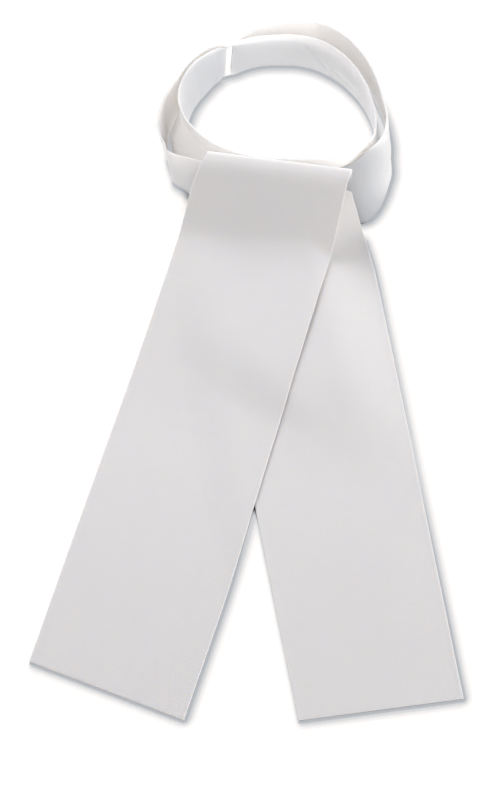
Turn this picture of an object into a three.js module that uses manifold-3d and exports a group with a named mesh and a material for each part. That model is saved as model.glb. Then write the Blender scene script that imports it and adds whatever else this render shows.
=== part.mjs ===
// A riding neck stock of double white cotton, laid on a table.
// The neck loop stands on its lower edge, and the two wide tails lie flat towards -Y.
// One strip makes it all: it goes twice round the neck, once through its own slot, and is tied in front.
// Millimetres and degrees, +Z up. A turn is an angle round the neck: 0 is the throat, +90 is the right side
// (+X), 180 is the nape and -90 is the left side.

import * as THREE from 'three';
import { mergeVertices } from 'three/addons/utils/BufferGeometryUtils.js';
import Module from 'manifold-3d';

// Cloth
const cloth = 1.6;
const clearance = 0.3;
const cotton_colour = '#eceaea';

// Neckband
const neck_half_width = 66.5;
const neck_half_depth = 50.5;
const band_height = 44;
const left_slack = 23.5;
const right_slack = 11;
const gathered_height = 34;
const slot_start = -118;
const slot_end = -190;
const throat_seam = 0.5;

// Knot: the roll of the front tail lies along a straight line, a little turned to the left
const knot_turn = -7.4;
const knot_shift = 10;
const crest_height = 45.5;
const crest_drop = 3;
const roll_run = 26;

// The pile of folded cloth in the knot, which both tails slope down from
const pile_height = 28;
const slope_run = 130;

// Tails, measured in plan from the middle of the knot to the middle of the end
const tail_width = 106;
const front_tail_length = 389;
const front_tail_swing = -16.7;
const front_end_skew = 5.7;
const rear_tail_length = 388;
const rear_tail_swing = 9.3;
const rear_end_skew = 1.1;
const drape_run = 16;
const tail_clearance = 0.5;

const pitch = cloth + clearance;
const roll_back = 1.5 * pitch;

// Reach of the inner wrap round the neck, as a share of an ellipse of the neck's size
const neck_shape = [
  { turn: -180, full: 1.00 },
  { turn: -150, full: 1.02 },
  { turn: -120, full: 1.00 },
  { turn: -90, full: 1.01 },
  { turn: -60, full: 1.00 },
  { turn: 0, full: 1.01 },
  { turn: 20, full: 1.05 },
  { turn: 35, full: 1.15 },
  { turn: 46, full: 1.21 },
  { turn: 60, full: 1.21 },
  { turn: 75, full: 1.09 },
  { turn: 90, full: 0.975 },
  { turn: 105, full: 0.94 },
  { turn: 120, full: 0.955 },
  { turn: 135, full: 0.995 },
  { turn: 150, full: 1.025 },
  { turn: 165, full: 1.015 },
  { turn: 180, full: 1.00 },
];

// Half of the strip that carries the slot: inner wrap on the right, outer wrap on the left.
// layer counts wraps outwards, slack is a share of left_slack, straight draws the band onto the knot's line,
// and lean, low and top are shares of band_height.
const slotted_route = [
  { turn: 0, layer: 0, slack: 0, straight: 0, lean: 0, low: 0, top: 0.95 },
  { turn: 30, layer: 0, slack: 0, straight: 0, lean: 0, low: 0, top: 0.95 },
  { turn: 50, layer: 0, slack: 0, straight: 0, lean: 0.03, low: 0, top: 0.96 },
  { turn: 75, layer: 0, slack: 0, straight: 0, lean: 0.07, low: 0, top: 0.98 },
  { turn: 102, layer: 0, slack: 0, straight: 0, lean: 0.1, low: 0, top: 1 },
  { turn: 140, layer: 0, slack: 0, straight: 0, lean: 0.1, low: 0, top: 1 },
  { turn: 165, layer: 0, slack: 0, straight: 0, lean: 0.14, low: 0, top: 1 },
  { turn: 186, layer: 0, slack: 0, straight: 0, lean: 0.14, low: 0, top: 1.01 },
  { turn: 224, layer: 1.6, slack: 0, straight: 0, lean: 0.06, low: 0, top: 1.02 },
  { turn: 240, layer: 1.2, slack: 0, straight: 0, lean: -0.04, low: 0, top: 1.02 },
  { turn: 256, layer: 1.1, slack: 0.05, straight: 0, lean: -0.08, low: 0, top: 1.02 },
  { turn: 270, layer: 1, slack: 0.34, straight: 0, lean: -0.08, low: 0, top: 1.02 },
  { turn: 278, layer: 1, slack: 0.54, straight: 0, lean: -0.12, low: 0, top: 1.02 },
  { turn: 285, layer: 1, slack: 0.76, straight: 0, lean: -0.16, low: 0, top: 1.02 },
  { turn: 292, layer: 1, slack: 0.89, straight: 0, lean: -0.16, low: 0, top: 1.01 },
  { turn: 297, layer: 1, slack: 0.95, straight: 0, lean: -0.14, low: 0, top: 0.98 },
  { turn: 302, layer: 1, slack: 0.94, straight: 0.6, lean: -0.07, low: 0, top: 0.92 },
  { turn: 307, layer: 1, slack: 0.86, straight: 0.98, lean: 0.08, low: 0, top: 0.85 },
  { turn: 314, layer: 1, slack: 0.6, straight: 1, lean: 0.33, low: 0, top: 0.78 },
  { turn: 320, layer: 1, slack: 0.3, straight: 1, lean: 0.4, low: 0, top: 0.75 },
  { turn: 332, layer: 1, slack: 0.1, straight: 1, lean: 0.3, low: 0, top: 0.73 },
  { turn: 344, layer: 1, slack: 0, straight: 1, lean: 0.16, low: 0.02, top: 0.72 },
  { turn: 378, layer: 1, slack: 0, straight: 1, lean: 0.14, low: 0.04, top: 0.68 },
];

// Half of the strip that goes through the slot: inner wrap on the left, outer wrap on the right.
// slack is a share of right_slack, and gather draws the band in to gathered_height for the slot.
const threaded_route = [
  { turn: 0, layer: 0, slack: 0, gather: 0, lean: 0, low: 0, top: 0.95 },
  { turn: -40, layer: 0, slack: 0, gather: 0, lean: 0, low: 0, top: 0.95 },
  { turn: -65, layer: 0, slack: 0, gather: 0, lean: -0.04, low: 0, top: 0.96 },
  { turn: -95, layer: 0, slack: 0, gather: 0, lean: -0.11, low: 0, top: 0.98 },
  { turn: -118, layer: 0, slack: 0, gather: 0.25, lean: -0.06, low: 0, top: 1 },
  { turn: -136, layer: 0, slack: 0, gather: 1, lean: 0.05, low: 0, top: 1 },
  { turn: -150, layer: 1, slack: 0.06, gather: 1, lean: 0.09, low: 0, top: 1 },
  { turn: -162, layer: 1.5, slack: 0.4, gather: 1, lean: 0.12, low: 0, top: 1 },
  { turn: -177, layer: 1, slack: 0.76, gather: 0.5, lean: 0.14, low: 0, top: 1 },
  { turn: -195, layer: 1, slack: 0.82, gather: 0, lean: 0.14, low: 0, top: 1.02 },
  { turn: -207, layer: 1, slack: 0.95, gather: 0, lean: 0.12, low: 0, top: 1.02 },
  { turn: -225, layer: 1, slack: 0.78, gather: 0, lean: 0.1, low: 0, top: 1.02 },
  { turn: -255, layer: 1, slack: 0.66, gather: 0, lean: 0.11, low: 0, top: 1.02 },
  { turn: -270, layer: 1, slack: 0.66, gather: 0, lean: 0.12, low: 0, top: 1.02 },
  { turn: -285, layer: 1, slack: 0.68, gather: 0, lean: 0.09, low: 0, top: 1.02 },
  { turn: -298, layer: 1, slack: 0.3, gather: 0, lean: 0.22, low: 0, top: 0.97 },
  { turn: -306, layer: 1, slack: 0.15, gather: 0, lean: 0.4, low: 0, top: 0.89 },
  { turn: -314, layer: 1, slack: 0.05, gather: 0, lean: 0.58, low: 0, top: 0.76 },
  { turn: -322, layer: 1, slack: 0, gather: 0, lean: 0.7, low: 0, top: 0.71 },
  { turn: -331, layer: 1, slack: 0, gather: 0, lean: 0.22, low: 0.05, top: 0.69 },
  { turn: -340, layer: 1, slack: 0, gather: 0, lean: 0, low: 0.07, top: 0.68 },
];

// Fall of the pile's top, from the knot to the table
const pile_slope = [
  { run: 0, height: 1 },
  { run: 0.08, height: 0.88 },
  { run: 0.16, height: 0.75 },
  { run: 0.31, height: 0.54 },
  { run: 0.46, height: 0.35 },
  { run: 0.62, height: 0.19 },
  { run: 0.78, height: 0.075 },
  { run: 0.9, height: 0.02 },
  { run: 1, height: 0 },
];

// Edges of the tails: left and right are shares of half the width
const front_edges = [
  { along: 0, left: 0.94, right: 0.91 },
  { along: 0.025, left: 0.98, right: 0.9 },
  { along: 0.065, left: 1.02, right: 0.91 },
  { along: 0.16, left: 1.04, right: 0.925 },
  { along: 0.5, left: 1.05, right: 0.955 },
  { along: 1, left: 1, right: 1 },
];
const rear_edges = [
  { along: 0, left: 0.92, right: 0.9 },
  { along: 0.025, left: 0.95, right: 0.95 },
  { along: 0.07, left: 0.99, right: 1 },
  { along: 0.15, left: 1.02, right: 1 },
  { along: 0.6, left: 1.04, right: 1 },
  { along: 1, left: 1, right: 1 },
];

// Height above the table at which the riser ends, across the knot: it ends higher on the right, over the
// threaded band that comes in there. The heights are shares of band_height.
const riser_foot = [
  { across: 0, height: 0.07 },
  { across: 0.58, height: 0.07 },
  { across: 0.67, height: 0.42 },
  { across: 0.75, height: 0.62 },
  { across: 0.88, height: 0.7 },
  { across: 1, height: 0.72 },
];

// Mesh steps
const band_step = 4;
const band_levels = 4;
const tail_columns = 12;
const riser_rows = 3;
const roll_rows = 5;
const tail_rows = [0.012, 0.022, 0.033, 0.045, 0.058, 0.072, 0.1, 0.13, 0.17, 0.21, 0.25, 0.29, 0.34, 0.4, 0.47,
  0.55, 0.64, 0.73, 0.82, 0.91, 1];

const radians = THREE.MathUtils.degToRad;

// A column of a table at a place between its rows, on a smooth curve that never overshoots
function read(table, key, at, column) {
  const rising = table[table.length - 1][key] > table[0][key];
  const rows = rising ? table : [...table].reverse();
  const last = rows.length - 1;
  const place = THREE.MathUtils.clamp(at, rows[0][key], rows[last][key]);
  let i = 0;
  while (i < last - 1 && place > rows[i + 1][key]) i += 1;
  const slope = (k) => (rows[k + 1][column] - rows[k][column]) / (rows[k + 1][key] - rows[k][key]);
  const tangent = (k) => {
    if (k === 0 || k === last) return 0;
    const before = slope(k - 1);
    const after = slope(k);
    return before * after > 0 ? 2 * before * after / (before + after) : 0;
  };
  const width = rows[i + 1][key] - rows[i][key];
  const t = (place - rows[i][key]) / width;
  const start = (1 + 2 * t) * (1 - t) ** 2 * rows[i][column] + t * (1 - t) ** 2 * width * tangent(i);
  const end = t * t * (3 - 2 * t) * rows[i + 1][column] + t * t * (t - 1) * width * tangent(i + 1);
  return start + end;
}

function ease(t) {
  return THREE.MathUtils.smoothstep(t, 0, 1);
}

function polar(turn, reach, height) {
  return new THREE.Vector3(reach * Math.sin(radians(turn)), -reach * Math.cos(radians(turn)), height);
}

// Reach of the inner wrap's middle line at a turn
function loop_reach(turn) {
  const wrapped = THREE.MathUtils.euclideanModulo(turn + 180, 360) - 180;
  const side = Math.sin(radians(wrapped)) / neck_half_width;
  const depth = Math.cos(radians(wrapped)) / neck_half_depth;
  return read(neck_shape, 'turn', wrapped, 'full') / Math.hypot(side, depth);
}

// How far out of the inner wrap's middle line a number of layers reaches, where the wall may run aslant
function layer_reach(turn, layers) {
  const slope = (loop_reach(turn + 1) - loop_reach(turn - 1)) / radians(2) / loop_reach(turn);
  return layers * pitch * Math.hypot(1, slope);
}

// The knot's own directions in plan, and its distance: the riser clears the inner wrap in front
const knot_forward = polar(knot_turn, 1, 0);
const knot_across = polar(knot_turn + 90, 1, 0);
let wrap_front = 0;
for (let turn = -60; turn <= 60; turn += 1) {
  wrap_front = Math.max(wrap_front, polar(turn, loop_reach(turn) + cloth / 2, 0).dot(knot_forward));
}
const riser_distance = wrap_front + clearance + cloth / 2;
const knot_distance = riser_distance + roll_back;

// A point by its place across the knot and its distance in front of the roll's crest
function knot_point(across, forward, height) {
  const point = knot_forward.clone().multiplyScalar(knot_distance + forward);
  point.addScaledVector(knot_across, knot_shift + across);
  point.z = height;
  return point;
}

function forward_of(point) {
  return point.x * knot_forward.x + point.y * knot_forward.y - knot_distance;
}

// Reach of the straight stretch of the slotted band, one layer in front of the riser
function straight_reach(turn) {
  return (riser_distance + pitch) / Math.cos(radians(turn - knot_turn));
}

// A closed sheet of cloth from a grid of points on its middle surface. Nothing of it goes under the table.
function cloth_solid(grid, thickness) {
  const rows = grid.length;
  const columns = grid[0].length;
  const positions = [];
  for (const side of [0.5, -0.5]) {
    for (let i = 0; i < rows; i += 1) {
      for (let j = 0; j < columns; j += 1) {
        const along = grid[Math.min(i + 1, rows - 1)][j].clone().sub(grid[Math.max(i - 1, 0)][j]);
        const across = grid[i][Math.min(j + 1, columns - 1)].clone().sub(grid[i][Math.max(j - 1, 0)]);
        const normal = along.cross(across).normalize();
        const point = grid[i][j].clone().addScaledVector(normal, side * thickness);
        positions.push(point.x, point.y, Math.max(point.z, 0));
      }
    }
  }
  const back = rows * columns;
  const index = [];
  const quad = (a, b, c, d) => index.push(a, b, c, a, c, d);
  for (let i = 0; i < rows - 1; i += 1) {
    for (let j = 0; j < columns - 1; j += 1) {
      const corner = i * columns + j;
      quad(corner, corner + columns, corner + columns + 1, corner + 1);
      quad(back + corner, back + corner + 1, back + corner + columns + 1, back + corner + columns);
    }
  }
  const rim = [];
  for (let j = 0; j < columns; j += 1) rim.push(j);
  for (let i = 1; i < rows; i += 1) rim.push(i * columns + columns - 1);
  for (let j = columns - 2; j >= 0; j -= 1) rim.push((rows - 1) * columns + j);
  for (let i = rows - 2; i > 0; i -= 1) rim.push(i * columns);
  rim.forEach((here, k) => {
    const next = rim[(k + 1) % rim.length];
    quad(here, next, back + next, back + here);
  });
  const geometry = new THREE.BufferGeometry();
  geometry.setAttribute('position', new THREE.Float32BufferAttribute(positions, 3));
  geometry.setIndex(index);
  return mergeVertices(geometry, 1e-4);
}

function grid_of(stations, levels, place) {
  return stations.map((station) => levels.map((level) => place(station, level)));
}

function steps(start, end, count) {
  return Array.from({ length: count + 1 }, (_, i) => start + (end - start) * i / count);
}

// The two halves of the neckband

function slotted_place(turn, level) {
  const column = (name) => read(slotted_route, 'turn', turn, name);
  const curved = loop_reach(turn) + layer_reach(turn, column('layer')) + column('slack') * left_slack;
  const straight = column('straight');
  const top_reach = straight > 0 ? THREE.MathUtils.lerp(curved, straight_reach(turn), straight) : curved;
  const reach = top_reach + (1 - level) * column('lean') * band_height;
  return polar(turn, reach, THREE.MathUtils.lerp(column('low'), column('top'), level) * band_height);
}

function threaded_place(turn, level, spare = 0) {
  const column = (name) => read(threaded_route, 'turn', turn, name);
  const top_reach = loop_reach(turn) + layer_reach(turn, column('layer')) + column('slack') * right_slack;
  const reach = top_reach + (1 - level) * column('lean') * band_height;
  const margin = column('gather') * (band_height - gathered_height) / 2;
  const low = column('low') * band_height + margin - spare;
  const top = column('top') * band_height - margin + spare;
  return polar(turn, reach, THREE.MathUtils.lerp(low, top, level));
}

// The threaded band ends where the riser leaves it no more room
function threaded_end() {
  let turn = threaded_route[threaded_route.length - 4].turn;
  const room = riser_distance - cloth / 2 - clearance;
  const outer = (at) => polar(at, loop_reach(at) + layer_reach(at, 1) + cloth / 2, 0).dot(knot_forward);
  while (turn > threaded_route[threaded_route.length - 1].turn && outer(turn - 1) < room) turn -= 1;
  return turn;
}

function band_stations(start, end) {
  return steps(start, end, Math.round(Math.abs(end - start) / band_step));
}

const levels = steps(0, 1, band_levels);
const seam_turn = THREE.MathUtils.radToDeg(throat_seam / 2 / loop_reach(0));
const slotted_end = slotted_route[slotted_route.length - 1].turn;
const slotted_blank = cloth_solid(grid_of(band_stations(seam_turn, slotted_end), levels, slotted_place), cloth);
const threaded_turns = band_stations(-seam_turn, threaded_end());
const threaded_solid = cloth_solid(grid_of(threaded_turns, levels, threaded_place), cloth);

// The slot is cut to the threaded band's own path, with the clearance all round it
const slot_turns = threaded_turns.filter((turn) => turn < slot_start && turn > slot_end);
const slot_cutter = cloth_solid(
  grid_of(slot_turns, levels, (turn, level) => threaded_place(turn, level, clearance)),
  cloth + 2 * clearance,
);

const wasm = await Module();
wasm.setup();

function to_solid(geometry) {
  return new wasm.Manifold(new wasm.Mesh({
    numProp: 3,
    vertProperties: geometry.attributes.position.array,
    triVerts: Uint32Array.from(geometry.index.array),
  }));
}

function to_geometry(solid) {
  const result = solid.getMesh();
  const geometry = new THREE.BufferGeometry();
  geometry.setAttribute('position', new THREE.BufferAttribute(Float32Array.from(result.vertProperties), 3));
  geometry.setIndex(new THREE.BufferAttribute(Uint32Array.from(result.triVerts), 1));
  return geometry;
}

const slotted_solid = to_geometry(to_solid(slotted_blank).subtract(to_solid(slot_cutter)));

// The tails

// Height of the pile's top at a distance in front of the crest, and the height that one layer takes on its slope
function pile_top(forward) {
  return pile_height * read(pile_slope, 'run', forward / slope_run, 'height');
}

function layer_height(forward) {
  const fall = pile_top(forward) - pile_top(forward + 1);
  return Math.hypot(1, fall);
}

// Plan of a tail: its rows turn from the knot's line to the line of its end
function tail_plan(tail, along, level) {
  const axis = polar(tail.swing, 1, 0);
  const end_turn = tail.swing + 90 - tail.skew;
  const row_turn = THREE.MathUtils.lerp(knot_turn + 90, end_turn, along);
  const half_width = tail_width / 2 / Math.cos(radians(row_turn - tail.swing - 90));
  const left = read(tail.edges, 'along', along, 'left');
  const right = read(tail.edges, 'along', along, 'right');
  const reach = half_width * THREE.MathUtils.lerp(-left, right, level);
  const middle = knot_point(0, tail.start, 0).addScaledVector(axis, along * tail.length);
  return middle.addScaledVector(polar(row_turn, 1, 0), reach);
}

const front_tail = {
  swing: front_tail_swing, skew: front_end_skew, length: front_tail_length, edges: front_edges, start: 0,
};
const rear_tail = {
  swing: rear_tail_swing, skew: rear_end_skew, length: rear_tail_length, edges: rear_edges, start: 2.2 * pitch,
};

function rear_place(along, level) {
  const point = tail_plan(rear_tail, along, level);
  const forward = forward_of(point);
  point.z = pile_top(forward) + cloth / 2 * layer_height(forward);
  return point;
}

// How far a point lies outside the rear tail's left edge: negative where the rear tail is under it
const rear_left_edge = steps(0, 1, 24).map((along) => tail_plan(rear_tail, along, 0));
function outside_rear_tail(point) {
  let nearest = Infinity;
  let side = 1;
  for (let i = 0; i < rear_left_edge.length - 1; i += 1) {
    const from = rear_left_edge[i];
    const edge = rear_left_edge[i + 1].clone().sub(from);
    const offset = new THREE.Vector3(point.x - from.x, point.y - from.y, 0);
    const share = THREE.MathUtils.clamp(offset.dot(edge) / edge.lengthSq(), 0, 1);
    const distance = offset.clone().addScaledVector(edge, -share).length();
    if (distance < nearest) {
      nearest = distance;
      side = edge.x * offset.y - edge.y * offset.x < 0 ? 1 : -1;
    }
  }
  return side * nearest;
}

const knot_half = tail_width / 2 / Math.cos(radians(knot_turn - front_tail_swing));

function crest_at(level) {
  return crest_height - crest_drop * level;
}

// The front tail falls from the crest onto the pile, lies over the rear tail and drapes off its edge
function front_place(along, level) {
  const point = tail_plan(front_tail, along, level);
  const forward = forward_of(point);
  const thick = layer_height(forward);
  const column_width = tail_width / tail_columns;
  const lift = 1 - ease((outside_rear_tail(point) - column_width) / drape_run);
  const lying = pile_top(forward) + (cloth / 2 + lift * (cloth + tail_clearance)) * thick;
  const fall = forward < roll_run ? (1 + Math.cos(Math.PI * forward / roll_run)) / 2 : 0;
  const at_crest = pile_height + cloth * 1.5 + tail_clearance;
  point.z = lying + fall * (crest_at(level) - at_crest);
  return point;
}

function roll_place(angle, level) {
  const across = THREE.MathUtils.lerp(-front_edges[0].left, front_edges[0].right, level) * knot_half;
  const forward = -roll_back * Math.cos(angle);
  return knot_point(across, forward, crest_at(level) - roll_back * (1 - Math.sin(angle)));
}

function riser_place(share, level) {
  const top = roll_place(0, level);
  const foot = read(riser_foot, 'across', level, 'height') * band_height;
  return top.setZ(THREE.MathUtils.lerp(foot, top.z, share));
}

const columns = steps(0, 1, tail_columns);
const roll_angles = steps(0, Math.PI / 2, roll_rows);
const front_grid = [
  ...grid_of(steps(0, 1, riser_rows).slice(0, -1), columns, riser_place),
  ...grid_of(roll_angles.slice(0, -1), columns, roll_place),
  ...grid_of([0, ...tail_rows], columns, front_place),
];
const rear_grid = grid_of([0, ...tail_rows], columns, rear_place);

// The assembly, with its origin under the middle of its box

function cotton_mesh(name, geometry) {
  const material = new THREE.MeshStandardMaterial({ color: cotton_colour, roughness: 0.85, metalness: 0 });
  const mesh = new THREE.Mesh(geometry, material);
  mesh.name = name;
  return mesh;
}

const stock = new THREE.Group();
stock.add(cotton_mesh('slotted_neckband', slotted_solid));
stock.add(cotton_mesh('threaded_neckband', threaded_solid));
stock.add(cotton_mesh('rear_tail', cloth_solid(rear_grid, cloth)));
stock.add(cotton_mesh('front_tail', cloth_solid(front_grid, cloth)));

const box = new THREE.Box3().setFromObject(stock);
const middle = box.getCenter(new THREE.Vector3());
stock.position.set(-middle.x, -middle.y, -box.min.z);

const part = new THREE.Group();
part.add(stock);
export default part;
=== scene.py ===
# %% [markdown]
# # A riding neck stock in white cotton
# The stock is one long strip of double cotton. It goes twice round the neck, once through a slot in
# itself, and its two wide ends are tied once in front and fall as tails. Here it lies on a white table:
# the neck loop stands on its lower edge, and the tails lie flat.
#
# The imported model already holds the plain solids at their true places. This lesson makes the cloth that
# takes their place: four flat cuts, folded along the same routes, with swells, creases and a woven
# finish.

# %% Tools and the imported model
import math

import bpy
import numpy as np
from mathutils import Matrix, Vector


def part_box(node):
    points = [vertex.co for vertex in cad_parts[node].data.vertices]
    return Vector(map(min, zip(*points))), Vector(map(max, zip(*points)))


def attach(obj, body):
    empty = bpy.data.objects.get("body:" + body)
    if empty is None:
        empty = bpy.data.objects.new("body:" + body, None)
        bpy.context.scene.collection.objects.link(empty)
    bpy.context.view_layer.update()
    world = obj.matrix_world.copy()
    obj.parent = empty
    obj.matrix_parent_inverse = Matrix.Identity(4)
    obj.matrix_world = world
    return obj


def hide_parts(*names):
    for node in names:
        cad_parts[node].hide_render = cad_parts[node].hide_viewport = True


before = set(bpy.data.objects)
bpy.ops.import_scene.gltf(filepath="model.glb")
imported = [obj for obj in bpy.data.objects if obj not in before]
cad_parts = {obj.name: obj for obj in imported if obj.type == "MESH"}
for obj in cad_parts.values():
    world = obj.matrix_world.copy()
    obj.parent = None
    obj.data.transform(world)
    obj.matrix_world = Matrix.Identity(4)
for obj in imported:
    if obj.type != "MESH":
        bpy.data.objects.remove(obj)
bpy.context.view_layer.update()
MM = 0.001
print("packed nodes:", sorted(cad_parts))

# %% [markdown]
# ## The camera
# The photograph was taken from well above the table, with a long lens, so that the two tails hardly
# narrow towards their far ends. The camera stands 60 degrees above the table and 2.2 m away. Its lens is
# given for a picture that is 800 pixels high.

# %% Camera
CAMERA_HEIGHT_ANGLE = math.radians(60)
CAMERA_DISTANCE = 2.2
CAMERA_TARGET = Vector((0.0025, -0.0254, 0))
LENS = 148.5
SENSOR_HEIGHT = 36

bpy.ops.object.camera_add()
camera = bpy.context.object
camera.name = "photo_camera"
camera.data.sensor_fit = "VERTICAL"
camera.data.sensor_height = SENSOR_HEIGHT
camera.data.lens = LENS
camera.data.clip_start = 0.05
away = Vector((0, -math.cos(CAMERA_HEIGHT_ANGLE), math.sin(CAMERA_HEIGHT_ANGLE)))
camera.location = CAMERA_TARGET + away * CAMERA_DISTANCE
camera.rotation_euler = (math.pi / 2 - CAMERA_HEIGHT_ANGLE, 0, 0)
bpy.context.scene.camera = camera
bpy.context.scene.view_settings.view_transform = "Standard"
print("camera at", tuple(round(v, 3) for v in camera.location))

# %% [markdown]
# ## Tables that are read between their rows
# A fold is easiest to describe by a few places along it. A table holds those places, with one named
# column for each measure, and a smooth curve joins its rows. The curve never swings past a row, as a free
# spline would, so a band that should be level stays level.

# %% Table reader
class Table:
    """Rows of named columns. The first column says where each row is."""

    def __init__(self, names, *rows):
        self.names = names.split()
        self.rows = np.array(sorted(rows), float)

    def read(self, name, places):
        where = self.rows[:, 0]
        values = self.rows[:, self.names.index(name)]
        place = np.clip(places, where[0], where[-1])
        i = np.clip(np.searchsorted(where, place, side="right") - 1, 0, len(where) - 2)
        slopes = np.diff(values) / np.diff(where)
        both = slopes[:-1] * slopes[1:]
        total = np.where(both > 0, slopes[:-1] + slopes[1:], 1)
        tangents = np.zeros(len(where))
        tangents[1:-1] = np.where(both > 0, 2 * both / total, 0)
        step = where[i + 1] - where[i]
        t = (place - where[i]) / step
        start = (1 + 2 * t) * (1 - t) ** 2 * values[i] + t * (1 - t) ** 2 * step * tangents[i]
        end = t**2 * (3 - 2 * t) * values[i + 1] + t**2 * (t - 1) * step * tangents[i + 1]
        return start + end


def ease(share):
    t = np.clip(share, 0, 1)
    return t * t * (3 - 2 * t)


# %% [markdown]
# ## The sizes of the real thing
# These are the stock's own sizes, in metres and degrees, the same that its solids were made from. Only
# the hem of the front tail reaches a little further. A turn is an angle round the neck: 0 is the throat,
# 90 the right side of the picture, 180 the nape and -90 the left side.

# %% Sizes
CLOTH = 1.6 * MM
CLEARANCE = 0.3 * MM
PITCH = CLOTH + CLEARANCE

NECK_HALF_WIDTH = 66.5 * MM
NECK_HALF_DEPTH = 50.5 * MM
BAND_HEIGHT = 44 * MM
GATHERED_HEIGHT = 34 * MM
LEFT_SLACK = 23.5 * MM
RIGHT_SLACK = 11 * MM
THROAT_SEAM = 0.5 * MM

KNOT_TURN = -7.4
KNOT_SHIFT = 10 * MM
CREST_HEIGHT = 45.5 * MM
CREST_DROP = 3 * MM
ROLL_BACK = 1.5 * PITCH

TAIL_WIDTH = 106 * MM
FRONT_TAIL_LENGTH = 389 * MM
HEM_EASE = 1.4 * MM
FRONT_TAIL_SWING = -16.7
FRONT_END_SKEW = 5.7
REAR_TAIL_LENGTH = 388 * MM
REAR_TAIL_SWING = 9.3
REAR_END_SKEW = 1.1
REAR_START = 2.2 * PITCH
print("cloth", CLOTH, "m thick, band", BAND_HEIGHT, "m high, tails", TAIL_WIDTH, "m wide")

# %% [markdown]
# ## The line of the neck
# A real neck isn't a true ellipse in plan, and a tied band is fuller at one front corner than at the
# other. So the inner wrap follows an ellipse of the neck's size, made fuller or leaner by a table.

# %% Neck line
neck_shape = Table(
    "turn full",
    (-180, 1.00),
    (-165, 0.995),
    (-150, 0.98),
    (-135, 0.985),
    (-120, 1.00),
    (-90, 1.01),
    (-60, 1.00),
    (0, 1.01),
    (20, 1.05),
    (35, 1.15),
    (46, 1.21),
    (60, 1.21),
    (75, 1.09),
    (90, 0.975),
    (105, 0.94),
    (120, 0.955),
    (135, 0.995),
    (150, 1.025),
    (165, 1.015),
    (180, 1.00),
)


def polar(turn, reach, height=0.0):
    """Places round the neck, from a turn in degrees, a reach and a height."""
    angle = np.radians(turn)
    across = reach * np.sin(angle)
    return np.stack(np.broadcast_arrays(across, -reach * np.cos(angle), height), axis=-1)


def loop_reach(turn):
    wrapped = np.mod(np.asarray(turn) + 180, 360) - 180
    side = np.sin(np.radians(wrapped)) / NECK_HALF_WIDTH
    depth = np.cos(np.radians(wrapped)) / NECK_HALF_DEPTH
    return neck_shape.read("full", wrapped) / np.hypot(side, depth)


def layer_reach(turn, layers):
    """How far out a number of layers reaches, where the wall may run aslant."""
    slope = (loop_reach(turn + 1) - loop_reach(turn - 1)) / math.radians(2) / loop_reach(turn)
    return layers * PITCH * np.hypot(1, slope)


ring = np.arange(-180, 180)
ring_points = polar(ring, loop_reach(ring))
ring_length = np.linalg.norm(np.diff(ring_points, axis=0, append=ring_points[:1]), axis=1).sum()
print("round the inner wrap:", round(ring_length, 3), "m")

# %% [markdown]
# ## Where the knot lies
# The front tail rises behind the knot and rolls over it. Its riser stands just clear of the inner wrap,
# so the knot's place is worked out from the wrap's foremost point.

# %% Knot
knot_forward = polar(KNOT_TURN, 1)
knot_across = polar(KNOT_TURN + 90, 1)
front_turns = np.arange(-60, 61)
wrap_front = (polar(front_turns, loop_reach(front_turns) + CLOTH / 2) @ knot_forward).max()
riser_distance = wrap_front + CLEARANCE + CLOTH / 2
knot_distance = riser_distance + ROLL_BACK


def knot_point(across, forward, height=0.0):
    across, forward, height = np.broadcast_arrays(across, forward, height)
    point = knot_forward * (knot_distance + forward)[..., None]
    point = point + knot_across * (KNOT_SHIFT + across)[..., None]
    point[..., 2] = height
    return point


def forward_of(point):
    return point @ knot_forward - knot_distance


def across_of(point):
    return point @ knot_across - KNOT_SHIFT


print("knot ahead of the neck's centre:", round(knot_distance, 4), "m")

# %% [markdown]
# ## The tails from above
# Each tail is a straight strip, but its ends were cut aslant and its edges aren't quite straight where
# the knot pulls at them. So each edge has its own share of the half width along the tail. The object's
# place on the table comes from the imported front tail: the left and near sides of its box touch the
# corners of the tail's end.

# %% Plan of the tails
front_edges = Table(
    "along left right",
    (0, 0.94, 0.91),
    (0.025, 0.98, 0.90),
    (0.065, 1.02, 0.91),
    (0.16, 1.025, 0.925),
    (0.5, 1.03, 0.965),
    (0.8, 1.015, 1.02),
    (1, 1.00, 1.01),
)
rear_edges = Table(
    "along left right",
    (0, 0.92, 0.90),
    (0.025, 0.95, 0.95),
    (0.07, 0.99, 1.01),
    (0.15, 1.02, 1.04),
    (0.35, 1.03, 1.035),
    (0.6, 1.04, 1.02),
    (0.8, 1.02, 1.01),
    (1, 1.00, 1.00),
)
front_tail = {
    "edges": front_edges,
    "swing": FRONT_TAIL_SWING,
    "skew": FRONT_END_SKEW,
    "length": FRONT_TAIL_LENGTH,
    "start": 0.0,
}
rear_tail = {
    "edges": rear_edges,
    "swing": REAR_TAIL_SWING,
    "skew": REAR_END_SKEW,
    "length": REAR_TAIL_LENGTH,
    "start": REAR_START,
}


def tail_plan(tail, along, level):
    """A tail seen from above: its rows turn from the knot's line to the line of its end."""
    square = tail["swing"] + 90
    first_row = KNOT_TURN + 90
    row_turn = first_row + (square - tail["skew"] - first_row) * along
    half_width = TAIL_WIDTH / 2 / np.cos(np.radians(row_turn - square))
    left = tail["edges"].read("left", along)
    right = tail["edges"].read("right", along)
    reach = half_width * (level * (left + right) - left)
    middle = knot_point(0.0, tail["start"]) + polar(tail["swing"], along * tail["length"])
    return middle + polar(row_turn, reach)


front_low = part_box("front_tail")[0]
end_corners = tail_plan(front_tail, np.ones(2), np.array([0.0, 1.0]))
NECK_CENTRE = np.array([front_low.x - end_corners[0, 0], front_low.y - end_corners[1, 1], 0.0])
front_tail["length"] += HEM_EASE
print("neck centre:", NECK_CENTRE.round(4))

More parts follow.
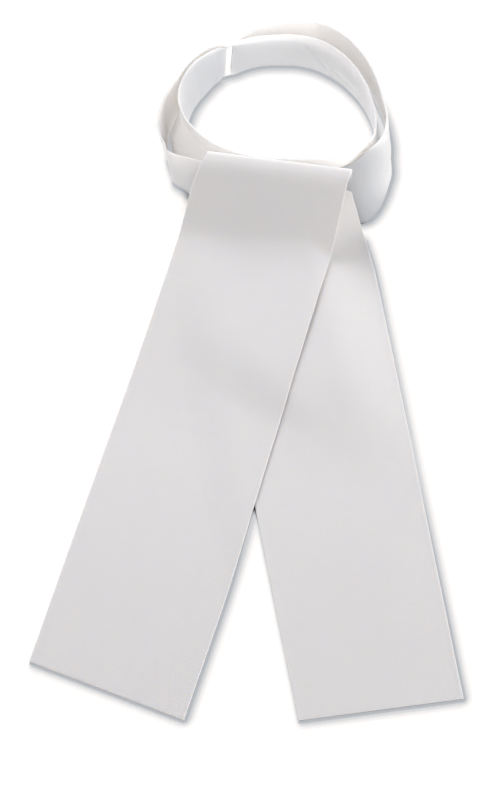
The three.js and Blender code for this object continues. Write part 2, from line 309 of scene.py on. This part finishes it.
# %% [markdown]
# ## Two halves of the neckband
# The strip's two halves leave the throat on opposite sides. The slotted half runs inside on the right and
# comes out on the left. The threaded half runs inside on the left, goes through the slot at the back
# left, and comes round outside on the right. Each route is a table of how many layers out the band is,
# how much slack it has, how far its foot leans out, and where its two edges are. The threaded half is
# gathered where it goes through the slot, and at the left front the second wrap pulls its lower part out
# into a pocket with a folded upper edge.

# %% Routes of the two halves
slotted_route = Table(
    "turn layer slack straight lean low top",
    (0, 0, 0, 0, 0, 0, 0.95),
    (30, 0, 0, 0, 0, 0, 0.95),
    (50, 0, 0, 0, 0.03, 0, 0.96),
    (75, 0, 0, 0, 0.07, 0, 0.98),
    (102, 0, 0, 0, 0.1, 0, 1),
    (140, 0, 0, 0, 0.1, 0, 1),
    (165, 0, 0, 0, 0.14, 0, 1),
    (186, 0, 0, 0, 0.14, 0, 0.99),
    (204, 0, 0, 0, 0.12, 0, 0.99),
    (210, 0.05, 0, 0, 0.1, 0, 1),
    (216, 0.55, 0, 0, 0.09, 0, 1),
    (222, 1.1, 0.02, 0, 0.07, 0, 1),
    (229, 1.5, 0.05, 0, 0.04, 0, 1.01),
    (240, 1.2, 0.05, 0, -0.04, 0, 1.02),
    (256, 1.1, 0.05, 0, -0.08, 0, 1.02),
    (270, 1, 0.34, 0, -0.08, 0, 1.02),
    (278, 1, 0.54, 0, -0.12, 0, 1.02),
    (285, 1, 0.76, 0, -0.16, 0, 1.02),
    (292, 1, 0.89, 0, -0.16, 0, 1.01),
    (297, 1, 0.95, 0, -0.14, 0, 0.98),
    (302, 1, 0.94, 0.6, -0.07, 0, 0.92),
    (307, 1, 0.86, 0.98, 0.04, 0, 0.85),
    (314, 1, 0.6, 1, 0.2, 0, 0.78),
    (320, 1, 0.3, 1, 0.28, 0, 0.75),
    (332, 1, 0.1, 1, 0.26, 0, 0.73),
    (344, 1, 0, 1, 0.16, 0.02, 0.72),
    (378, 1, 0, 1, 0.14, 0.04, 0.68),
)
threaded_route = Table(
    "turn layer slack gather lean low top",
    (0, 0, 0, 0, 0, 0, 0.95),
    (-40, 0, 0, 0, 0, 0, 0.95),
    (-65, 0, 0, 0, -0.04, 0, 0.96),
    (-95, 0, 0, 0, -0.11, 0, 0.98),
    (-118, 0, 0, 0, -0.06, 0, 1),
    (-134, 0, 0, 0.1, 0.05, 0, 1),
    (-139, 0, 0, 0.45, 0.07, 0, 1),
    (-141, 0.05, 0, 0.8, 0.08, 0, 1),
    (-143, 0.3, 0, 0.95, 0.08, 0, 1),
    (-145, 0.8, 0, 0.95, 0.09, 0, 1),
    (-147, 1.1, 0, 0.8, 0.09, 0, 0.99),
    (-149, 1.3, 0.01, 0.45, 0.1, 0, 0.97),
    (-155, 1.6, 0.15, 0.1, 0.11, 0, 0.95),
    (-163, 1.6, 0.44, 0, 0.12, 0, 0.955),
    (-177, 1, 0.78, 0, 0.14, 0, 0.985),
    (-195, 1, 0.86, 0, 0.14, 0, 1.02),
    (-207, 1, 1.04, 0, 0.12, 0, 1.02),
    (-225, 1, 0.96, 0, 0.1, 0, 1.02),
    (-240, 1, 0.8, 0, 0.1, 0, 1.02),
    (-255, 1, 0.66, 0, 0.11, 0, 1.02),
    (-270, 1, 0.54, 0, 0.12, 0, 1.02),
    (-285, 1, 0.52, 0, 0.09, 0, 1.02),
    (-298, 1, 0.3, 0, 0.22, 0, 0.97),
    (-306, 1, 0.15, 0, 0.4, 0, 0.89),
    (-314, 1, 0.05, 0, 0.58, 0, 0.76),
    (-322, 1, 0, 0, 0.7, 0, 0.71),
    (-331, 1, 0, 0, 0.22, 0.05, 0.69),
    (-340, 1, 0, 0, 0, 0.07, 0.68),
)
pocket_flare = Table(
    "turn reach",
    (-98, 0),
    (-91, 2),
    (-85, 6.5),
    (-78, 10.5),
    (-68, 12.5),
    (-55, 8),
    (-46, 3),
    (-36, 0),
)
POCKET_FOLD = 0.74
POCKET_BEND = 0.36


def slotted_place(turn, level):
    curved = loop_reach(turn) + layer_reach(turn, slotted_route.read("layer", turn))
    curved = curved + slotted_route.read("slack", turn) * LEFT_SLACK
    share = slotted_route.read("straight", turn)
    facing = np.cos(np.radians(turn - KNOT_TURN))
    straight = np.where(share > 0, (riser_distance + PITCH) / facing, curved)
    lean = slotted_route.read("lean", turn) * BAND_HEIGHT
    reach = curved + share * (straight - curved) + (1 - level) * lean
    low = slotted_route.read("low", turn) * BAND_HEIGHT
    top = slotted_route.read("top", turn) * BAND_HEIGHT
    return polar(turn, reach, low + (top - low) * level)


def threaded_place(turn, level):
    reach = loop_reach(turn) + layer_reach(turn, threaded_route.read("layer", turn))
    reach = reach + threaded_route.read("slack", turn) * RIGHT_SLACK
    reach = reach + (1 - level) * threaded_route.read("lean", turn) * BAND_HEIGHT
    folded = np.clip((POCKET_FOLD - level) / POCKET_BEND, 0, 1)
    reach = reach + folded * pocket_flare.read("reach", turn) * MM
    margin = threaded_route.read("gather", turn) * (BAND_HEIGHT - GATHERED_HEIGHT) / 2
    low = threaded_route.read("low", turn) * BAND_HEIGHT + margin
    top = threaded_route.read("top", turn) * BAND_HEIGHT - margin
    return polar(turn, reach, low + (top - low) * level)


print("routes of", len(slotted_route.rows), "and", len(threaded_route.rows), "places")

# %% [markdown]
# ## The pile under the tails
# Both tails slope down a pile of folded cloth inside the knot and then lie on the table. The photograph's
# light shows the pile's form: on the right it is a shelf that ends in a soft slope, on the left it slopes
# all the way, and a line aslant parts the two. Past the rear tail's right edge there is no pile.

# %% The pile
pile_shelf = Table(
    "forward height",
    (0, 28),
    (10, 25),
    (20, 21.8),
    (33, 17.6),
    (45, 14.4),
    (58, 12.2),
    (70, 11.0),
    (82, 10.0),
    (100, 8.8),
    (120, 7.9),
    (140, 6.8),
    (155, 5.5),
    (170, 3.8),
    (185, 2.1),
    (200, 0.8),
    (220, 0),
)
pile_left = Table(
    "forward height",
    (0, 28),
    (20, 22),
    (33, 19.4),
    (45, 17.0),
    (60, 14.2),
    (75, 11.8),
    (90, 9.6),
    (105, 7.5),
    (120, 5.6),
    (135, 3.9),
    (150, 2.4),
    (165, 1.2),
    (180, 0.4),
    (200, 0),
)
pile_step = Table(
    "forward across",
    (0, -66),
    (60, -52),
    (95, -44),
    (120, -34),
    (140, -18),
    (160, 5),
    (185, 35),
)
STEP_WIDTH = 62 * MM
pile_end = Table(
    "forward across",
    (0, 88),
    (10, 80),
    (20, 71),
    (30, 66),
    (45, 69),
    (60, 75),
    (100, 90),
    (215, 120),
)
PILE_FALL = 48 * MM


def pile_top(forward, across):
    """Top of the pile: a shelf on the right, and a longer slope on the left of a line aslant."""
    line = pile_step.read("across", forward / MM) * MM
    on_left = ease(0.5 - (across - line) / STEP_WIDTH)
    right = pile_shelf.read("height", forward / MM)
    left = pile_left.read("height", forward / MM)
    end = pile_end.read("across", forward / MM) * MM
    return (right + on_left * (left - right)) * ease((end - across) / PILE_FALL) * MM


def layer_height(forward, across):
    """How high one metre of thickness stands on the pile's slope."""
    return np.hypot(1, (pile_top(forward, across) - pile_top(forward + MM, across)) / MM)


print("shelf 0.1 m ahead of the knot:", pile_top(0.1, 0.0).round(4), "m high")

# %% [markdown]
# ## The rear tail's route
# The rear tail simply lies on the pile and the table. Its left edge is kept as a line, because the front
# tail drapes off it.

# %% Route of the rear tail
def rear_place(along, level):
    point = tail_plan(rear_tail, along, level)
    forward = forward_of(point)
    across = across_of(point)
    point[..., 2] = pile_top(forward, across) + CLOTH / 2 * layer_height(forward, across)
    return point


rear_left_edge = tail_plan(rear_tail, np.linspace(0, 1, 25), np.zeros(25))[:, :2]


def outside_rear_tail(point):
    """How far a point lies outside the rear tail's left edge: less than 0 where that tail is under it."""
    nearest = np.full(point.shape[:-1], np.inf)
    for start, end in zip(rear_left_edge[:-1], rear_left_edge[1:]):
        edge = end - start
        offset = point[..., :2] - start
        share = np.clip(offset @ edge / (edge @ edge), 0, 1)
        distance = np.linalg.norm(offset - share[..., None] * edge, axis=-1)
        side = np.where(edge[0] * offset[..., 1] - edge[1] * offset[..., 0] < 0, 1, -1)
        nearest = np.where(distance < np.abs(nearest), side * distance, nearest)
    return nearest


print("rear tail's left edge ends at", (rear_left_edge[-1] + NECK_CENTRE[:2]).round(3))

# %% [markdown]
# ## The front tail's route
# The front tail rises behind the knot, rolls over its top and falls on the rear tail. Where the rear tail
# isn't under it, it comes down to the table over a short run. The fall and the pile meet in a soft bend.

# %% Route of the front tail
def crest_at(level):
    return CREST_HEIGHT - CREST_DROP * level


def softer_of(first, second, blend):
    """The higher of two heights, with a soft bend where they meet."""
    return (first + second + np.sqrt((first - second) ** 2 + blend**2)) / 2


roll_fall = Table(
    "forward height",
    (0, 0),
    (4, -0.4),
    (8, -1.7),
    (12, -3.9),
    (16, -6.7),
    (32, -17.9),
    (48, -29.1),
    (65, -41),
    (420, -290),
)
DRAPE_START = 3 * MM
DRAPE_RUN = 30 * MM
LAYER_GAP = 0.1 * MM
LANDING_BEND = 3 * MM


def front_place(along, level):
    point = tail_plan(front_tail, along, level)
    forward = forward_of(point)
    across = across_of(point)
    lift = 1 - ease((outside_rear_tail(point) - DRAPE_START) / DRAPE_RUN)
    layers = CLOTH / 2 + lift * (CLOTH + LAYER_GAP)
    lying = pile_top(forward, across) + layers * layer_height(forward, across)
    falling = crest_at(level) + roll_fall.read("height", forward / MM) * MM
    point[..., 2] = softer_of(falling, lying, LANDING_BEND)
    return point


riser_foot = Table(
    "across height",
    (0, 0.07),
    (0.58, 0.07),
    (0.67, 0.42),
    (0.75, 0.62),
    (0.88, 0.7),
    (1, 0.72),
)
knot_half = TAIL_WIDTH / 2 / math.cos(math.radians(KNOT_TURN - FRONT_TAIL_SWING))
knot_left = front_edges.read("left", 0)
knot_right = front_edges.read("right", 0)


def roll_place(angle, level):
    across = (level * (knot_left + knot_right) - knot_left) * knot_half
    height = crest_at(level) - ROLL_BACK * (1 - np.sin(angle))
    return knot_point(across, -ROLL_BACK * np.cos(angle), height)


def riser_place(share, level):
    point = roll_place(0, level)
    foot = riser_foot.read("height", level) * BAND_HEIGHT
    point[..., 2] = foot + (point[..., 2] - foot) * share
    return point


def whole_front_place(stage, level):
    """The whole front tail: stage 0 to 1 is the riser, 1 to 2 the back of the roll, and 2 to 3 the tail."""
    stage, level = np.broadcast_arrays(stage, level)
    riser = riser_place(np.clip(stage, 0, 1), level)
    roll = roll_place(np.clip(stage - 1, 0, 1) * np.pi / 2, level)
    tail = front_place(np.clip(stage - 2, 0, 1), level)
    stage = stage[..., None]
    return np.where(stage < 1, riser, np.where(stage < 2, roll, tail))


print("crest", round(crest_at(0), 4), "m high on the left,", round(crest_at(1), 4), "m on the right")

# %% [markdown]
# ## Flat cuts
# Cloth can't stretch, so each piece starts as a flat cut of its true width and length. A grid is added
# and its vertices are set along the route by their distance on the flat cut, measured along the middle
# line. The flat places stay on the piece as its UV map, in metres, so that the weave follows every fold
# at its true size.

# %% Flat cuts
ROUTE_SAMPLES = 4001
RIM_ANGLE = 50
RIM_SHARE = 0.42


class FlatCut:
    """A grid of places on a route: rows at even or chosen distances along it, and columns across it."""

    def __init__(self, place, start, end, width, cell, crowd=None):
        sample = np.linspace(start, end, ROUTE_SAMPLES)
        line = place(sample, np.full(len(sample), 0.5))
        steps = np.linalg.norm(np.diff(line, axis=0), axis=1)
        run = np.concatenate([[0], np.cumsum(steps)])
        self.length = run[-1]
        self.width = width
        density = 1 + (crowd(run) if crowd else 0 * run)
        count = np.concatenate([[0], np.cumsum((density[1:] + density[:-1]) / 2 * steps)]) / cell
        self.rows = round(count[-1])
        self.columns = round(width / cell)
        self.run = np.interp(np.linspace(0, count[-1], self.rows + 1), count, run)
        self.station = np.interp(self.run, run, sample)
        self.level = np.linspace(0, 1, self.columns + 1)
        self.across = self.level * width
        self.points = place(self.station[:, None], self.level[None, :]) + NECK_CENTRE

    def normals(self):
        along = np.gradient(self.points, axis=0)
        across = np.gradient(self.points, axis=1)
        normal = np.cross(across, along)
        return normal / np.linalg.norm(normal, axis=-1, keepdims=True)


def make_cloth(name, cut):
    """A sheet without thickness, from the flat cut, with its UV map in metres."""
    bpy.ops.object.select_all(action="DESELECT")
    bpy.ops.mesh.primitive_grid_add(x_subdivisions=cut.columns, y_subdivisions=cut.rows, size=1)
    piece = bpy.context.object
    piece.name = name
    piece.data.name = name
    mesh = piece.data
    corner = np.empty(len(mesh.vertices) * 3)
    mesh.vertices.foreach_get("co", corner)
    corner = corner.reshape(-1, 3)
    column = np.rint((corner[:, 0] + 0.5) * cut.columns).astype(int)
    row = np.rint((corner[:, 1] + 0.5) * cut.rows).astype(int)
    mesh.vertices.foreach_set("co", cut.points[row, column].ravel())
    used = np.empty(len(mesh.loops), int)
    mesh.loops.foreach_get("vertex_index", used)
    flat = np.stack([cut.across[column[used]], cut.run[row[used]]], axis=-1)
    mesh.uv_layers[0].data.foreach_set("uv", flat.ravel())
    mesh.update()
    print(name, "is cut", round(cut.width, 3), "x", round(cut.length, 3), "m,", cut.rows, "x", cut.columns)
    return piece


def thicken(piece, thickness):
    """Gives the sheet its wall and rounds its rim. Nothing of it may reach under the table."""
    wall = piece.modifiers.new("wall", "SOLIDIFY")
    wall.thickness = thickness
    wall.offset = 0
    rim = piece.modifiers.new("rim", "BEVEL")
    rim.limit_method = "ANGLE"
    rim.angle_limit = math.radians(RIM_ANGLE)
    rim.width = thickness * RIM_SHARE
    rim.segments = 3
    bpy.ops.object.select_all(action="DESELECT")
    piece.select_set(True)
    bpy.context.view_layer.objects.active = piece
    for modifier in ("wall", "rim"):
        bpy.ops.object.modifier_apply(modifier=modifier)
    bpy.ops.object.shade_smooth()
    places = np.empty(len(piece.data.vertices) * 3)
    piece.data.vertices.foreach_get("co", places)
    places[2::3] = np.maximum(places[2::3], 0)
    piece.data.vertices.foreach_set("co", places)
    triangles = sum(len(face.vertices) - 2 for face in piece.data.polygons)
    print(piece.name, triangles, "triangles")


# %% [markdown]
# ## Soft swells
# Pressed cotton never lies quite flat. Long low swells run over both tails where the knot under them
# pulls at the cloth, and the low lamp draws them as light and dark patches. Each swell is a smooth hill
# with its place from the neck's centre, its reach along and across, the way it turns and its height, all
# in millimetres. The hills only ever lift the cloth, so that nothing goes under the table.

# %% Swells
class Swells:
    """Smooth hills, one for each row."""

    def __init__(self, *rows):
        self.rows = rows

    def at(self, points):
        """Height of all the hills together, at points in the neck's own directions."""
        total = np.zeros(points.shape[:-1])
        for x, y, reach_along, reach_across, turn, height in self.rows:
            angle = math.radians(turn)
            ahead = points[..., 0] - x * MM
            aside = points[..., 1] - y * MM
            along = (ahead * math.sin(angle) - aside * math.cos(angle)) / (reach_along * MM)
            across = (ahead * math.cos(angle) + aside * math.sin(angle)) / (reach_across * MM)
            total = total + height * MM * np.exp(-(along**2) - across**2)
        return total


def creased(cut, *rows):
    """Presses thin ridges and hollows into a flat cut, along straight lines.

    A row holds the station and level of both ends, the half width and the height in millimetres.
    """
    normals = cut.normals()
    run = cut.run[:, None]
    across = cut.across[None, :]
    total = 0
    for first, first_level, last, last_level, half_width, height in rows:
        order = np.argsort(cut.station)
        start, end = np.interp([first, last], cut.station[order], cut.run[order])
        rise = (last_level - first_level) * cut.width
        length = math.hypot(end - start, rise)
        share = ((run - start) * (end - start) + (across - first_level * cut.width) * rise) / length**2
        share = np.clip(share, 0, 1)
        beside = np.hypot(
            run - start - share * (end - start), across - first_level * cut.width - share * rise
        )
        total = total + height * MM * np.exp(-((beside / (half_width * MM)) ** 2))
    cut.points = cut.points + normals * total[..., None]


print("swells and creases are ready")

# %% [markdown]
# ## The rear tail
# The rear tail is the plainest piece: a wide strip that slopes down from the knot and lies on the table.
# It is made first, because the front tail lies on it. The cells of its grid are small enough for the
# softest bend.

# %% Rear tail
CELL = 1.6 * MM
WALL = 1.3 * MM
EDGE_CURL = 0.2 * MM
CURL_WIDTH = 4 * MM


def edge_curl(cut):
    """The two long edges of a tail turn up a little where their seams were pressed."""
    inside = np.minimum(cut.across, cut.width - cut.across)
    return EDGE_CURL * np.clip(1 - inside / CURL_WIDTH, 0, 1)[None, :] ** 2


rear_swells = Swells(
    (60, -175, 60, 40, 10, 1.2),
    (95, -265, 45, 30, 30, 1.4),
    (75, -330, 60, 35, 5, 0.9),
)
rear_cut = FlatCut(rear_place, 0, 1, TAIL_WIDTH, CELL)
rear_cut.points[..., 2] += rear_swells.at(rear_cut.points - NECK_CENTRE) + edge_curl(rear_cut)
rear_cloth = make_cloth("rear_tail_cloth", rear_cut)
thicken(rear_cloth, WALL)

# %% [markdown]
# ## The front tail
# One sheet makes the riser behind the knot, the roll on its top and the tail itself. The rows stand
# closer where the cloth turns over, so that the roll is round. The rear tail's swells show through the
# sheet that lies on it, but not on the roll.

# %% Front tail
CLOSEST_ROWS = CREST_HEIGHT - BAND_HEIGHT * 0.42
ROLL_CROWD = 1.6
ROLL_CROWD_REACH = 16 * MM
SWELL_START = 20 * MM
SWELL_RUN = 40 * MM


def crowd_at_roll(run):
    """How much closer the rows stand just before the roll and on it."""
    return ROLL_CROWD * np.exp(-(((run - CLOSEST_ROWS) / ROLL_CROWD_REACH) ** 2))


front_swells = Swells((28, -165, 34, 24, 20, 0.8))
front_cut = FlatCut(whole_front_place, 0, 3, TAIL_WIDTH, CELL, crowd_at_roll)
past_roll = ease((front_cut.run - CLOSEST_ROWS - SWELL_START) / SWELL_RUN)[:, None]
front_local = front_cut.points - NECK_CENTRE
front_lift = rear_swells.at(front_local) + front_swells.at(front_local) + edge_curl(front_cut)
front_cut.points[..., 2] += past_roll * front_lift
front_cloth = make_cloth("front_tail_cloth", front_cut)
thicken(front_cloth, WALL)

# %% [markdown]
# ## The neckband
# Each half of the neckband is a flat cut of its own, as wide as the band is high. Both start at the
# throat's seam and end in front, inside the knot. The slot is cut out of the slotted half. A few thin
# creases were pressed into both where they turn or cross.

# %% Neckband
SLOTTED_END = 378
THREADED_END = -333
SLOT_START = 213.5
SLOT_END = 218.5
SLOT_LOW = 0.09
SLOT_TOP = 0.9


def cut_opening(piece, cut, first, last, low, top):
    """Takes out the faces of a sheet between two stations and two levels."""
    start, end = np.interp([first, last], cut.station, cut.run)
    bpy.ops.object.mode_set(mode="EDIT")
    bpy.ops.mesh.select_mode(type="FACE")
    bpy.ops.mesh.select_all(action="DESELECT")
    bpy.ops.object.mode_set(mode="OBJECT")
    flat = piece.data.uv_layers[0].data
    for face in piece.data.polygons:
        middle = sum((flat[i].uv for i in face.loop_indices), Vector((0, 0))) / face.loop_total
        face.select = bool(start < middle.y < end and low < middle.x / cut.width < top)
    count = sum(face.select for face in piece.data.polygons)
    bpy.ops.object.mode_set(mode="EDIT")
    bpy.ops.mesh.delete(type="FACE")
    bpy.ops.object.mode_set(mode="OBJECT")
    print(piece.name, "opening", round(end - start, 4), "m long,", count, "faces out")


seam_turn = math.degrees(THROAT_SEAM / 2 / loop_reach(0))
slotted_cut = FlatCut(slotted_place, seam_turn, SLOTTED_END, BAND_HEIGHT, CELL)
creased(
    slotted_cut,
    (162, 0.8, 144, 0.12, 2.6, 0.6),
    (158, 0.8, 140, 0.12, 2.2, -0.4),
    (146, 0.3, 118, 0.22, 3, -0.4),
    (335, 0.5, 318, 0.2, 4, 0.7),
)
slotted_cloth = make_cloth("slotted_band_cloth", slotted_cut)
cut_opening(slotted_cloth, slotted_cut, SLOT_START, SLOT_END, SLOT_LOW, SLOT_TOP)
threaded_cut = FlatCut(threaded_place, -seam_turn, THREADED_END, BAND_HEIGHT, CELL)
creased(
    threaded_cut,
    (-118, 0.15, -116, 0.85, 5, 0.7),
    (-92, 0.76, -44, 0.72, 1.3, -0.5),
    (-262, 0.72, -296, 0.5, 1.8, -0.35),
    (-266, 0.6, -300, 0.36, 1.8, -0.35),
    (-260, 0.46, -292, 0.24, 1.8, -0.3),
    (-268, 0.3, -300, 0.14, 2, -0.3),
)
threaded_cloth = make_cloth("threaded_band_cloth", threaded_cut)
thicken(slotted_cloth, WALL)
thicken(threaded_cloth, WALL)

# %% [markdown]
# ## Shader expressions
# A finish is easier to read as sums than as a web of nodes. A small class wraps a node's output, so that
# plus, minus and times add the Math nodes.

# %% Signals and finishes
class Signal:
    """One output of a shader node, which can be used in sums as a number is."""

    def __init__(self, finish, socket):
        self.finish = finish
        self.socket = socket

    def math(self, operation, *values):
        return self.finish.node("Math", {"operation": operation}, dict(enumerate(values)))

    def clamped(self):
        return self.finish.node("Clamp", {}, {0: self})

    def __add__(self, other):
        return self.math("ADD", self, other)

    def __sub__(self, other):
        return self.math("SUBTRACT", self, other)

    def __rsub__(self, other):
        return self.math("SUBTRACT", other, self)

    def __mul__(self, other):
        return self.math("MULTIPLY", self, other)

    __radd__ = __add__


class Finish:
    """A material whose nodes are added by short calls."""

    def __init__(self, name):
        self.material = bpy.data.materials.new(name)
        self.material.use_nodes = True
        self.tree = self.material.node_tree
        self.tree.nodes.clear()

    def node(self, kind, settings, inputs, output=0):
        node = self.tree.nodes.new("ShaderNode" + kind)
        for name, value in settings.items():
            setattr(node, name, value)
        for name, value in inputs.items():
            if isinstance(value, Signal):
                self.tree.links.new(value.socket, node.inputs[name])
            else:
                node.inputs[name].default_value = value
        return Signal(self, node.outputs[output])

    def mix(self, share, first, second):
        """Between two colours, by a share."""
        return self.node("Mix", {"data_type": "RGBA"}, {0: share, 6: first, 7: second}, 2)

    def surface(self, shader):
        end = self.tree.nodes.new("ShaderNodeOutputMaterial")
        self.tree.links.new(shader.socket, end.inputs["Surface"])

    def put_on(self, piece):
        piece.data.materials.clear()
        piece.data.materials.append(self.material)


print("sums of nodes are ready")

# %% [markdown]
# ## White cotton
# The real cloth is a fine, washed plain weave in white. Close up, its threads go over and under each
# other every half millimetre, and some are a little thicker than others. From further off it is a soft,
# matt white that varies very slightly.
#
# Light that enters the cloth comes out again some way off. On the standing neckband it travels far, since
# light reaches both faces of the wall, and the band glows. On the tails it has to stay near, or light from
# under a raised part would shine through it. The tails are the same cloth as the band, but their white is
# painted darker: painted shade that keeps the flat tails from coming out too light.

# %% White cotton
THREAD = 0.45 * MM
UNEVENNESS = 0.018


def cotton_white(lightness):
    return (lightness, lightness * 0.992, lightness * 0.992, 1)


def cotton_finish(name, depth_of_light, lightness):
    """White cotton of a given lightness, in which light travels so far. A lightness below the band's is
    painted shade, not a darker cloth.
    """
    cotton = Finish(name)
    flat_place = cotton.node("UVMap", {}, {})
    across_threads = cotton.node("SeparateXYZ", {}, {0: flat_place})
    along_threads = cotton.node("SeparateXYZ", {}, {0: flat_place}, 1)
    over = across_threads.math("SINE", across_threads * (math.pi / THREAD))
    under = along_threads.math("SINE", along_threads * (math.pi / THREAD))

    def cloth_noise(size_across, size_along, detail=2):
        scale = (1 / size_across, 1 / size_along, 1)
        stretched = cotton.node("Mapping", {}, {"Vector": flat_place, "Scale": scale})
        return cotton.node("TexNoise", {}, {"Vector": stretched, "Scale": 1, "Detail": detail})

    slubs = cloth_noise(0.8 * MM, 14 * MM) + cloth_noise(14 * MM, 0.8 * MM) - 1
    mottle = cloth_noise(22 * MM, 30 * MM, 3)
    fine_mottle = cloth_noise(3 * MM, 3 * MM, 3)
    height = over * under * 0.35 + slubs * 0.8 + fine_mottle * 0.5
    shade = mottle * 0.6 + fine_mottle * 0.25 + slubs * 0.3
    darker = cotton_white(lightness - UNEVENNESS)
    lighter = cotton_white(lightness + UNEVENNESS)
    shader = cotton.node(
        "BsdfPrincipled",
        {},
        {
            "Base Color": cotton.mix(shade, darker, lighter),
            "Roughness": 0.82 + fine_mottle * 0.12,
            "Specular IOR Level": 0.25,
            "Subsurface Weight": 0.9,
            "Subsurface Radius": (1.0, 0.9, 0.78),
            "Subsurface Scale": depth_of_light,
            "Sheen Weight": 0.12,
            "Sheen Roughness": 0.5,
            "Normal": cotton.node("Bump", {}, {"Strength": 0.5, "Distance": 0.12 * MM, "Height": height}),
        },
    )
    cotton.surface(shader)
    print(name, "has", len(cotton.tree.nodes), "nodes")
    return cotton


# The tails' cotton is a copy of the band's with a lower lightness, and that lower lightness is painted
# shade: it is the same cloth.
shaded_tail_cotton = cotton_finish("shaded_tail_cotton", 1 * MM, 0.812)
band_cotton = cotton_finish("band_cotton", 11 * MM, 0.88)
for piece in (rear_cloth, front_cloth):
    shaded_tail_cotton.put_on(piece)
for piece in (slotted_cloth, threaded_cloth):
    band_cotton.put_on(piece)

# %% [markdown]
# ## The table
# The stock was photographed on a pure white ground that keeps only the closest shadows, on the lower
# right of each edge. A glowing white floor gives the same even ground. Its shadow comes from the Ambient
# Occlusion node, which looks only a few millimetres far. Its normal is tipped over to the upper left, so
# that a place on the floor turns dark only where cloth stands close on that side.
#
# A real table under raised cloth gets no light, so a second, wider occlusion dims the glow where cloth
# hides most of the sky. The floor round the neckband, beyond the knot, keeps its glow.

# %% Table
TABLE_SIZE = 4
SHADOW_REACHES = (2.4 * MM, 4.4 * MM, 6.4 * MM, 8.6 * MM)
SHADOW_SIDE = Vector((-0.62, 0.66, -0.12)).normalized()
SHADOW_GAIN = 24
SKY_REACH = 60 * MM
SKY_LEAST = 0.37
SKY_GAIN = 8
KNOT_LINE_GAIN = 100
TABLE_GLOW = (1.08, 1.05, 1.03, 1)
SHADOW_GLOW = (0.47, 0.49, 0.52, 1)

bpy.ops.object.select_all(action="DESELECT")
bpy.ops.mesh.primitive_plane_add(size=TABLE_SIZE)
table = bpy.context.object
table.name = "white_table"
table_paint = Finish("white_table_paint")

shadow_side = table_paint.node("CombineXYZ", {}, dict(zip("XYZ", SHADOW_SIDE)))
depth = 0
for reach in SHADOW_REACHES:
    nearness = table_paint.node(
        "AmbientOcclusion", {"samples": 12}, {"Distance": reach, "Normal": shadow_side}, 1
    )
    depth = ((1 - nearness) * SHADOW_GAIN).clamped() * (1 / len(SHADOW_REACHES)) + depth

uncovered = table_paint.node("AmbientOcclusion", {"samples": 16}, {"Distance": SKY_REACH}, 1)
table_parts = table_paint.node("SeparateXYZ", {}, {0: table_paint.node("TexCoord", {}, {}, 3)}, 1)
behind_knot = ((table_parts - float(NECK_CENTRE[1] - knot_distance)) * KNOT_LINE_GAIN).clamped()
open_sky = (((uncovered - SKY_LEAST) * SKY_GAIN).clamped() + behind_knot).clamped()
glow = table_paint.mix(depth, TABLE_GLOW, SHADOW_GLOW)
table_paint.surface(table_paint.node("Emission", {}, {"Color": glow, "Strength": open_sky}))
table_paint.put_on(table)
print("table shadow in", len(SHADOW_REACHES), "reaches,", len(table_paint.tree.nodes), "nodes")

# %% [markdown]
# ## Light
# Soft light comes mostly from the sides and is warm, with a little cool light from above. One large soft
# lamp stands behind the stock on the left, so low that it brings out the swells of the tails. A second
# lamp on the right, a little to the front, keeps that side of the band and of the rear tail light.

# %% Light
OVERHEAD = (0.13, 0.132, 0.158, 1)
FROM_SIDES = (0.88, 0.85, 0.825, 1)

world = bpy.data.worlds.new("studio")
bpy.context.scene.world = world
world.use_nodes = True
studio = world.node_tree
studio_height = studio.nodes.new("ShaderNodeSeparateXYZ")
studio_light = studio.nodes.new("ShaderNodeMix")
studio_light.data_type = "RGBA"
studio_light.inputs[6].default_value = FROM_SIDES
studio_light.inputs[7].default_value = OVERHEAD
studio.links.new(studio.nodes.new("ShaderNodeTexCoord").outputs["Generated"], studio_height.inputs[0])
studio.links.new(studio_height.outputs["Z"], studio_light.inputs[0])
studio.links.new(studio_light.outputs[2], studio.nodes["Background"].inputs["Color"])


def add_lamp(name, turn, height_angle, distance, size, power, colour):
    """A square soft lamp that looks at the middle of the stock, from a turn round it and a height angle."""
    angle = math.radians(turn)
    up = math.radians(height_angle)
    direction = (math.sin(angle) * math.cos(up), math.cos(angle) * math.cos(up), math.sin(up))
    place = Vector(direction) * distance
    bpy.ops.object.light_add(type="AREA", location=place)
    lamp = bpy.context.object
    lamp.name = name
    lamp.data.size = size
    lamp.data.energy = power
    lamp.data.color = colour
    lamp.rotation_euler = (-place).to_track_quat("-Z", "Y").to_euler()
    print(name, "stands at", tuple(round(value, 2) for value in place))


add_lamp("low_softbox", -20, 35, 1.6, 0.9, 20.5, (0.99, 0.985, 1.0))
add_lamp("right_fill", 112, 22, 2.0, 1.1, 19, (1.0, 0.985, 0.965))

# %% [markdown]
# ## Handing over
# Each piece rides on the part's one body and takes the place of its plain solid.

# %% Handing over
for piece, node in (
    (rear_cloth, "rear_tail"),
    (front_cloth, "front_tail"),
    (slotted_cloth, "slotted_neckband"),
    (threaded_cloth, "threaded_neckband"),
):
    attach(piece, "root")
    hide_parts(node)
